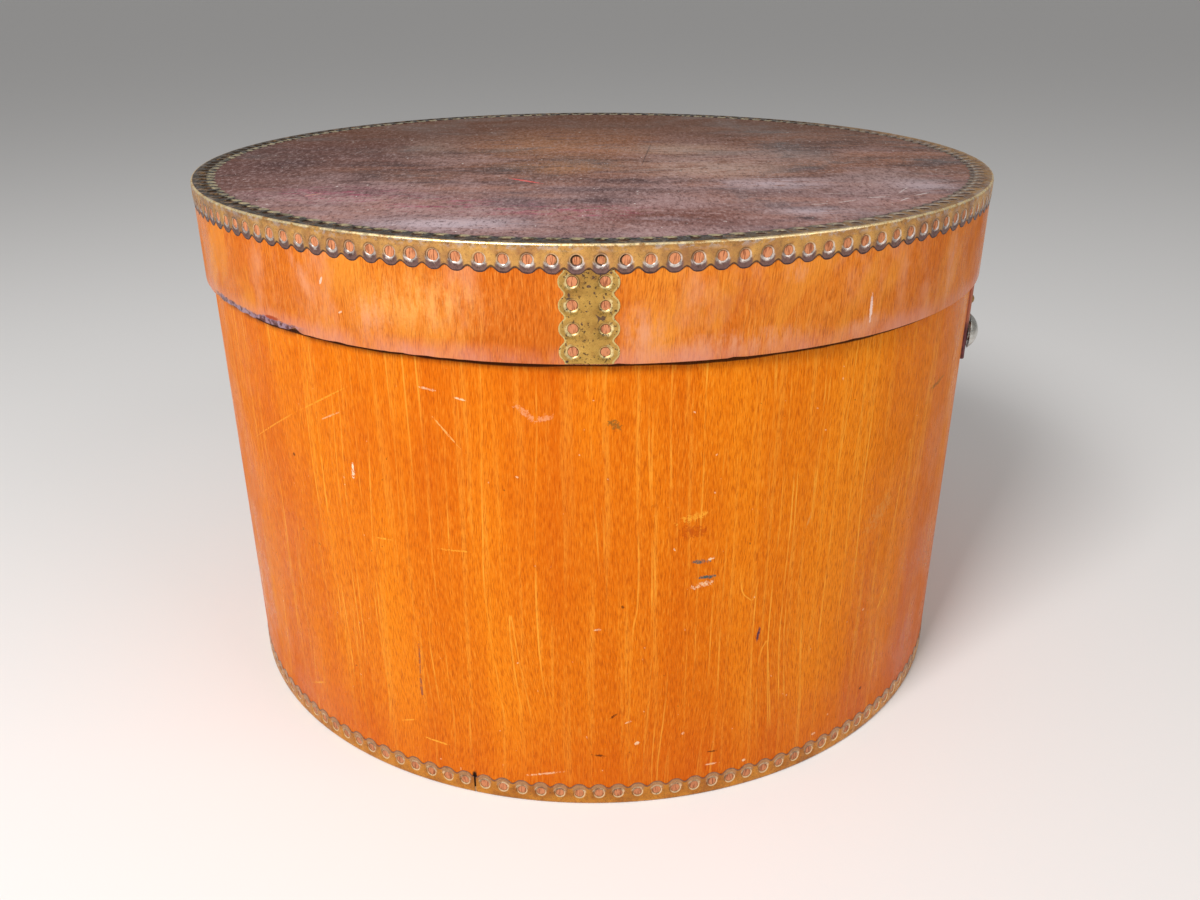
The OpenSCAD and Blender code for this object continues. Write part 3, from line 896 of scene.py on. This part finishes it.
NECK_H = 0.6 * MM
RIVET_R = 2.0 * MM
TACK_R = 2.3 * MM
TACK_H = 1.2 * MM
SHANK_R = 0.75 * MM
SHANK_IN = 1.5 * MM
TAB_FACE = WALL_R + TAB_T
# Rounded faces stay this far inside the box of their CAD node
INSET = 0.02 * MM
for side, node in ((90, "strap_stud_right"), (-90, "strap_stud_left")):
    low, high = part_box(node)
    seat = TAB_FACE + NECK_H
    profile = [(RIVET_R, WALL_R - WALL_T), (RIVET_R, TAB_FACE), (NECK_R, TAB_FACE)]
    profile += [(NECK_R, seat + 0.2 * MM), (DOME_R - 0.5 * MM, seat + 0.1 * MM)]
    profile += [(DOME_R - 0.05 * MM, seat + 0.15 * MM)]
    profile += dome(DOME_R, DOME_H - INSET, seat, 14)
    bm = bmesh.new()
    turned_piece(bm, profile, side, (low[2] + high[2]) / 2)
    finish_piece(bm, node, nickel, "body", TURNED_SHARP)
tack_low, tack_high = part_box("tab_tacks")
tack_z = (tack_low[2] + tack_high[2]) / 2
profile = [(SHANK_R, WALL_R - SHANK_IN), (SHANK_R, TAB_FACE)] + dome(TACK_R, TACK_H, TAB_FACE, 8)
bm = bmesh.new()
for side in (90, -90):
    turned_piece(bm, profile, side, tack_z)
finish_piece(bm, "tab_tacks", tack_brass, "body", TURNED_SHARP)
paint_node("stud_washers", tack_brass)


# The lid panel is a flat ply disc. Its varnish has gone dark and dusty, brown with mauve-grey bloom and
# tan patches where it is worn through. Its grain runs from side to side as one faces the lid's joint.
panel_low, panel_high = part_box("lid_panel")
LID_R = panel_high[0]
LID_JOINT = 13
LID_T = panel_high[2] - panel_low[2]
LID_CORNER = 0.8 * MM
LID_STEPS = 300


def swung(tree, place, angle):
    """Coordinates swung about Z, so that a pattern runs another way."""
    return add(tree, "Mapping", {"Vector": place, "Rotation": (0, 0, angle)}).outputs[0]


TAN = paint(170, 112, 66)
MAGENTA = paint(156, 66, 92)
UMBER = paint(108, 66, 42)
LILAC = paint(184, 166, 172)
SHADE = paint(62, 44, 46)
CHALK = paint(206, 192, 188)
lid_stains = [
    (-20, 50, 170, 190, 0, TAN, 0.6),
    (-14, -33, 80, 64, 0, TAN, 0.75),
    (13, 50, 80, 150, 0, paint(152, 92, 54), 0.6),
    (-91, 41, 60, 120, 0, paint(150, 122, 108), 0.55),
    (3, 155, 260, 70, 0, UMBER, 0.8),
    (-102, -25, 110, 24, 0, SHADE, 0.75),
    (-153, -23, 50, 64, 0, SHADE, 0.6),
    (20, -71, 120, 36, 0, SHADE, 0.8),
    (82, -80, 84, 48, 0, LILAC, 0.75),
    (58, -36, 120, 84, 0, paint(186, 156, 142), 0.7),
    (48, 26, 96, 70, 0, paint(178, 148, 130), 0.65),
    (5, -119, 48, 38, 0, SHADE, 0.75),
    (12, -96, 120, 34, 0, SHADE, 0.65),
    (-105, -95, 80, 44, 0, paint(88, 58, 62), 0.6),
    (-54, -165, 100, 40, 0, LILAC, 0.8),
    (33, -152, 130, 66, 0, paint(104, 60, 46), 0.85),
    (84, -156, 20, 14, 0, paint(46, 38, 44), 0.85),
    (90, -143, 60, 24, 0, LILAC, 0.6),
    (93, 3, 130, 80, 0, paint(168, 138, 128), 0.65),
    (142, -66, 90, 90, 0, paint(156, 134, 130), 0.35),
    (151, -85, 50, 50, 0, LILAC, 0.6),
    (83, 62, 30, 22, 0, UMBER, 0.75),
    (67, -17, 18, 24, 0, UMBER, 0.7),
]
lid_dabs = [
    (-110, -104, 110, 60, -10, MAGENTA, 0.75, 0.5),
    (-56, -128, 110, 50, -8, MAGENTA, 0.8, 0.5),
    (-4, -142, 90, 46, 0, MAGENTA, 0.75, 0.5),
]
lid_scratches = [
    (-31, -71, 23, 3.2, -42, paint(214, 84, 78), 0.9, 0.7),
    (-121, -104, 11, 1.5, 41, paint(200, 140, 116), 0.75, 0.6),
    (29, 13, 110, 0.9, 84, paint(58, 42, 38), 0.55, 0.5),
    (95, -128, 9, 1.2, 20, CHALK, 0.7, 0.7),
    (108, -122, 16, 1.1, 34, CHALK, 0.7, 0.7),
    (123, -113, 12, 1.6, 10, CHALK, 0.75, 0.7),
    (133, -118, 10, 1.2, 50, CHALK, 0.7, 0.7),
    (144, -106, 14, 1.4, 40, CHALK, 0.75, 0.7),
    (108, -104, 18, 0.9, 4, CHALK, 0.6, 0.7),
    (138, -97, 20, 0.9, 62, CHALK, 0.6, 0.7),
]
lid_wood, tree, surface = new_material("dusty lid panel")
place = swung(tree, object_place(tree), -math.radians(LID_JOINT))
along, back, up = split(tree, place)[:]
streaks = noise(tree, place, (12, 46, 3), 7.0, 0.66, 0.3)
clouds = noise(tree, place, (13, 18, 5), 8.0, 0.68, 0.3)
fine = noise(tree, place, (130, 620, 7), 4.0, 0.75)
flush = noise(tree, place, (14, 46, 9), 4.0, 0.7)
front_dust = shifted(tree, clouds, -0.1, back)
left_side = shifted(tree, clouds, 0.08, shifted(tree, back, -0.5, along))
back_side = shifted(tree, clouds, 0.08, back)
colour = washes(tree, paint(64, 36, 28), [
    (streaks, 0.34, 0.64, 1.0, paint(142, 92, 68)),
    (clouds, 0.47, 0.6, 0.72, paint(150, 120, 114)),
    (clouds, 0.45, 0.34, 0.85, paint(66, 44, 40)),
    (fine, 0.5, 0.68, 0.35, paint(166, 130, 118)),
    (fine, 0.48, 0.3, 0.45, paint(56, 36, 32)),
    (flush, 0.6, 0.72, 0.3, paint(140, 60, 70)),
    (front_dust, -70 * MM, -190 * MM, 0.36, paint(162, 134, 138)),
    (left_side, 10 * MM, -110 * MM, 0.74, paint(78, 44, 38)),
    (back_side, 60 * MM, 180 * MM, 0.7, UMBER),
])
scuffed = fade(tree, noise(tree, place, (50, 170, 17), 6.0, 0.75), 0.36, 0.52)
colour = lay_marks(tree, place, colour, lid_stains, core=0.0, broken=scuffed)
dabbed = fade(tree, noise(tree, place, (90, 330, 61), 5.0, 0.75), 0.5, 0.62)
colour = lay_marks(tree, place, colour, lid_dabs, core=0.0, broken=dabbed)
colour = lay_marks(tree, place, colour, lid_scratches)
grit = noise(tree, place, (640, 260, 41), 4.0, 0.75)
dust = noise(tree, place, (460, 300, 13), 2.0, 0.5)
from_axis = flat_length(tree, place)
# Ragged edge of the painted shade on the panel under the edging's flat side
edging_shade = shifted(tree, grit, 8 * MM, from_axis)
colour = washes(tree, colour, [
    (grit, 0.5, 0.67, 0.42, paint(180, 156, 154)),
    (grit, 0.49, 0.34, 0.6, paint(50, 28, 25)),
    (back_side, 40 * MM, 150 * MM, 0.32, paint(94, 56, 24)),
    (dust, 0.72, 0.77, 0.8, paint(214, 204, 198)),
    # Painted shade on the wood under the edging's flat side: a ragged dark ring, then fully dark, as seen
    # through its holes and scallops
    (edging_shade, LID_R - 6.8 * MM, LID_R - 5.6 * MM, 0.7, paint(46, 34, 30)),
    (from_axis, LID_R - 8.8 * MM, LID_R - 8.4 * MM, 1.0, paint(66, 44, 32)),
])
# Its underside and the lower part of its edge are raw ply
raw = bare_wood(tree, swung(tree, place, math.pi / 2), RAW_DARK, RAW_LIGHT)
top_skin = fade(tree, up, panel_high[2] - 1.2 * MM, panel_high[2] - 0.9 * MM)
feed(tree, surface, {
    "Base Color": blend(tree, top_skin, raw, colour),
    "Roughness": fade(tree, clouds, 0.05, 0.9, 0.85),
    "Specular IOR Level": 0.12,
    "Normal": relief(tree, calc(tree, "ADD", fine, grit), 0.2 * MM),
})

bm = bmesh.new()
bmesh.ops.create_circle(bm, cap_ends=True, segments=LID_STEPS, radius=LID_R - INSET)
raised = bmesh.ops.extrude_face_region(bm, geom=bm.faces[:])["geom"]
bmesh.ops.translate(bm, vec=(0, 0, LID_T), verts=verts_of(raised))
corner = [edge for edge in bm.edges if all(vert.co.z > LID_T / 2 for vert in edge.verts)]
bmesh.ops.bevel(bm, geom=corner, offset=LID_CORNER, segments=3, profile=0.5, affect="EDGES", material=-1)
bmesh.ops.translate(bm, vec=(0, 0, panel_low[2]), verts=bm.verts)
finish_piece(bm, "lid_panel", lid_wood, "lid")


# The lid band is a ply strip bent round the lid panel and butted at the front under a plate. Handling has
# hazed its varnish pink and white, most of all along the lower edge, which is chipped at the left.
band_low, band_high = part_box("lid_band")
BAND_T = 2.3 * MM
BAND_R = LID_R
BAND_Z0 = band_low[2]
BAND_EDGE = 0.35 * MM
BAND_STEPS = 480
BARE_ABOVE = 249.4 * MM
UNDER_PLATE = 8.7 * MM
CHIPS_AZ = -34
HAZE = paint(222, 152, 114)
band_haze = [
    (46, 218.5, 34, 11, 8, HAZE, 0.8),
    (18.5, 224, 24, 30, 0, HAZE, 0.75),
    (30, 219, 80, 14, 2, HAZE, 0.75),
    (-12, 226, 26, 22, 70, HAZE, 0.6),
    (-22, 240, 40, 9, -60, HAZE, 0.55),
    (63, 232, 14, 50, 0, HAZE, 0.8),
    (36, 244, 16, 12, 0, HAZE, 0.6),
    (27, 236, 96, 26, 0, paint(172, 88, 52), 0.4),
    (-5, 234, 76, 34, 0, paint(250, 178, 100), 0.55),
]
band_chips = [
    (46.8, 224.6, 13, 1.8, 91, paint(244, 214, 200), 0.85, 0.7),
    (-18.4, 237.6, 5, 1.2, 63, paint(236, 206, 186), 0.7, 0.8),
    (-16, 226, 2.6, 0.9, 30, paint(240, 206, 176), 0.6, 0.6),
    (-28.5, 216, 13, 2.8, 4, paint(156, 56, 20), 0.85, 0.3),
]
band_wood, tree, surface = new_material("varnished lid band")
place, height = unrolled(tree, LID_JOINT)
tones = (paint(204, 102, 28), paint(222, 126, 42), paint(242, 170, 86), paint(140, 60, 20))
colour, wood = varnished(tree, place, tones, 0.16)
figure = noise(tree, swung(tree, place, 0.55), (40, 15, 43), 4.0, 0.6)
haze = noise(tree, place, (26, 13, 3), 6.0, 0.68)
colour = washes(tree, colour, [
    (figure, 0.5, 0.64, 0.3, paint(240, 158, 62)),
    (figure, 0.46, 0.34, 0.3, paint(186, 88, 24)),
    (haze, 0.5, 0.7, 0.5, HAZE),
])
handled = fade(tree, height, BAND_Z0 + 9 * MM, BAND_Z0 + 1 * MM)
edge_haze = times(tree, handled, fade(tree, haze, 0.25, 0.65, 0.6))
colour = blend(tree, edge_haze, colour, paint(214, 142, 124))
rubbed = fade(tree, noise(tree, place, (260, 60, 19), 6.0, 0.75), 0.38, 0.6)
colour = lay_marks(tree, place, colour, band_haze, LID_JOINT, core=0.0, broken=rubbed)
colour = lay_marks(tree, place, colour, band_chips, LID_JOINT)
# Grey splintered wood shows where the lower edge is chipped
round_way = split(tree, place)[0]
chip_middle = rolled_out(CHIPS_AZ, 0, LID_JOINT)[0]
from_chips = calc(tree, "ABSOLUTE", minus(tree, round_way, chip_middle))
fray = noise(tree, place, (210, 500, 71), 4.0, 0.7)
lip = shifted(tree, fray, 4 * MM, minus(tree, height, BAND_Z0 + 2 * MM))
lip = fade(tree, lip, 3.3 * MM, 2.5 * MM, 0.9)
chipped = times(tree, fade(tree, from_chips, 44 * MM, 30 * MM), lip)
splinters = noise(tree, place, (330, 330, 29), 3.0, 0.7)
chip_tone = washes(tree, paint(66, 44, 54), [(splinters, 0.4, 0.56, 1.0, paint(144, 122, 138))])
colour = blend(tree, chipped, colour, chip_tone)
# Under the edging and the plate the band is bare
dry = unvarnished(tree, wood)
from_joint = minus(tree, math.pi * WALL_R, calc(tree, "ABSOLUTE", round_way))
colour = washes(tree, colour, [
    (height, BARE_ABOVE, BARE_ABOVE + 0.5 * MM, 1.0, dry),
    (from_joint, UNDER_PLATE, UNDER_PLATE - 0.4 * MM, 1.0, dry),
])
colour, outside = ply_under(tree, place, colour, BAND_R - BAND_T, BAND_T, (0.86, 0.97))
rub = noise(tree, place, (40, 26, 9), 5.0, 0.7)
varnish(tree, surface, wood, colour, rub, (0.2, 0.8, 0.7), outside, 0.05, 0.3)

bm = bent_sheet(BAND_R - BAND_T, BAND_R, BAND_Z0, band_high[2], LID_JOINT, BAND_EDGE, BAND_STEPS)
chance = random.Random(5)
bites = []
for count, first, last, shallow, deep in ((26, -45, -23, 0.15, 0.6), (60, -180, 180, 0.1, 0.35)):
    for _ in range(count):
        spot = chance.uniform(first, last)
        reach = chance.uniform(0.4, 1.2)
        bites.append((spot, reach, chance.uniform(shallow, deep) * MM))
for vert in bm.verts:
    if vert.co.z > BAND_Z0 + 2 * MM:
        continue
    azimuth = math.degrees(math.atan2(vert.co.x, -vert.co.y))
    outer_side = math.hypot(vert.co.x, vert.co.y) > BAND_R - BAND_T / 2
    for spot, reach, bite in bites:
        away = abs((azimuth - spot + 180) % 360 - 180) / reach
        if away < 1:
            vert.co.z += bite * (1 - away * away) * (1.0 if outer_side else 0.4)
finish_piece(bm, "lid_band", band_wood, "lid")


# The lid's edging is the same strip round its upper corner, gold on the upright side with silvery flakes
# at the worn fold. Its flat side is nearly black with tarnish, dirt and painted shade, with painted
# highlights on the scallops, and gold again at the right, where less shade is painted. It rides over the
# plate at the front.
RING_R, RING_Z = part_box("lid_edging")[1][1:]
RING_HOLES = 142
RING_JOINT = 193
ring_brass = strip_brass("lid edging brass", {
    "Clean": paint(220, 164, 90),
    "Dull": paint(174, 122, 78),
    "Tip": paint(120, 92, 92),
    "Rim": paint(228, 214, 204),
    "Edge": paint(58, 42, 46),
    "Shade_toward": (-0.6, -0.8, 0.0),
    "Pitted": 0.3,
}, flat_dull=paint(70, 56, 40), silver=0.6)
bm = folded_ring(RING_R, RING_Z, 1, RING_HOLES, RING_JOINT, BUTT_GAP, LID_JOINT, 31)
finish_piece(bm, "lid_edging", ring_brass, "lid", STRIP_SHARP)


# A short length of the strip covers the joint of the lid band at the front, olive-gold and specked with
# dark corrosion. Its upper end runs under the edging.
LID_PLATE_HOLES = 4
lid_plate_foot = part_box("lid_joint_plate")[0][2]
bm = flat_plate(BAND_R, lid_plate_foot, 1, LID_PLATE_HOLES, PLATE_END, LID_JOINT, 41)
finish_piece(bm, "lid_joint_plate", plate_brass, "lid", STRIP_SHARP)


# The box stands on a pale floor in soft studio light, seen from the front and a little above.
floor_mesh = bpy.data.meshes.new("floor")
bm = bmesh.new()
bmesh.ops.create_grid(bm, x_segments=1, y_segments=1, size=30)
bm.to_mesh(floor_mesh)
bm.free()
floor = bpy.data.objects.new("floor", floor_mesh)
bpy.context.scene.collection.objects.link(floor)
floor_paint, tree, surface = new_material("pale floor")
feed(tree, surface, {"Base Color": paint(232, 230, 228), "Roughness": 0.9})
floor_mesh.materials.append(floor_paint)

world = bpy.data.worlds.new("studio")
bpy.context.scene.world = world
world.use_nodes = True
feed(world.node_tree, world.node_tree.nodes["Background"], {"Color": (1, 1, 1, 1), "Strength": 0.32})


BOX_MIDDLE = Vector((0, 0, 0.13))


def soft_light(name, azimuth, elevation, distance, size, power):
    """A square soft light aimed at the middle of the box."""
    lamp = bpy.data.lights.new(name, "AREA")
    lamp.size = size
    lamp.energy = power
    holder = bpy.data.objects.new(name, lamp)
    bpy.context.scene.collection.objects.link(holder)
    a = math.radians(azimuth)
    e = math.radians(elevation)
    way = Vector((math.sin(a) * math.cos(e), -math.cos(a) * math.cos(e), math.sin(e)))
    holder.location = BOX_MIDDLE + way * distance
    holder.rotation_euler = way.to_track_quat("Z", "Y").to_euler()


soft_light("key", -18, 44, 1.7, 0.5, 26)
soft_light("fill", 70, 30, 2.4, 1.6, 13)

lens = bpy.data.cameras.new("camera")
lens.sensor_width = 36
lens.lens = 31.305
camera = bpy.data.objects.new("camera", lens)
bpy.context.scene.collection.objects.link(camera)
camera.location = (0.1317, -0.5494, 0.343)
camera.rotation_euler = (math.radians(65.758), math.radians(0.152), math.radians(13.075))
bpy.context.scene.camera = camera
bpy.context.scene.render.resolution_x = 1200
bpy.context.scene.render.resolution_y = 900
bpy.context.scene.view_settings.view_transform = "Standard"
